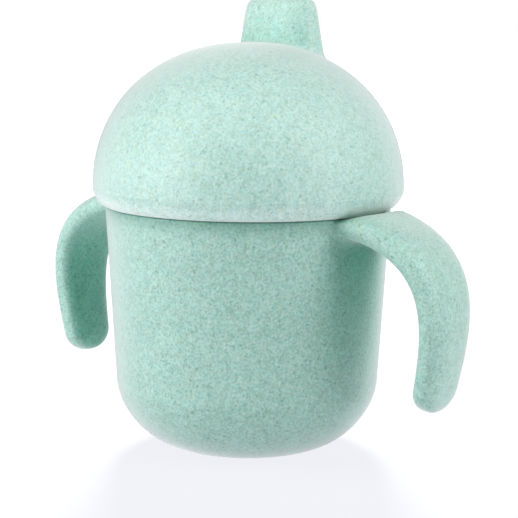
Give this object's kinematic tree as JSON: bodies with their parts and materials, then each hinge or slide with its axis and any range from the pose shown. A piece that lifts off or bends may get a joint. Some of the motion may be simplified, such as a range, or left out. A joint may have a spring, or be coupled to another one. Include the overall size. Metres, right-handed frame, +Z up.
{
  "type": "sippy cup",
  "caption": "Two-handled toddler cup with a domed screw-on lid, an oval hard spout and a push-in spill-proof valve.",
  "frame": {"origin": "centre of the underside, on the resting plane", "axes": "+Z up along the cup's axis, the two handles along X, the spout offset towards +Y"},
  "size_m": [0.1306, 0.0828, 0.1192],
  "materials": {
    "cup_shell": "speckled plant-fibre plastic, satin",
    "lid_shell": "speckled plant-fibre plastic, satin",
    "seal_silicone": "translucent white silicone",
    "valve_plastic": "smooth off-white moulded plastic",
    "valve_silicone": "soft translucent silicone"
  },
  "bodies": {
    "cup": {"cup_body": "cup_shell"},
    "seal": {"lid_seal": "seal_silicone"},
    "lid": {"lid": "lid_shell"},
    "valve_insert": {"valve_holder": "valve_plastic"},
    "spout_disc": {"spout_valve": "valve_silicone"},
    "vent_disc": {"vent_valve": "valve_silicone"}
  },
  "joints": [
    {"name": "lid_lift", "type": "slide", "parent": "cup", "child": "seal", "axis": [0, 0, 1], "range_m": [0, 0.018]},
    {"name": "lid_unscrew", "type": "hinge", "parent": "seal", "child": "lid", "pos_m": [0, 0, 0.07], "axis": [0, 0, 1], "range_deg": [0, 720]},
    {"name": "valve_pull", "type": "slide", "parent": "lid", "child": "valve_insert", "axis": [0, 0, -1], "range_m": [0, 0.03]},
    {"name": "spout_valve_lift", "type": "slide", "parent": "valve_insert", "child": "spout_disc", "axis": [0, 0, 1], "range_m": [0, 0.0008]},
    {"name": "vent_valve_drop", "type": "slide", "parent": "valve_insert", "child": "vent_disc", "axis": [0, 0, -1], "range_m": [0, 0.0008]}
  ],
  "couplings": [
    {"joint": "lid_lift", "follows": "lid_unscrew", "m_per_rad": 0.0014324}
  ]
}
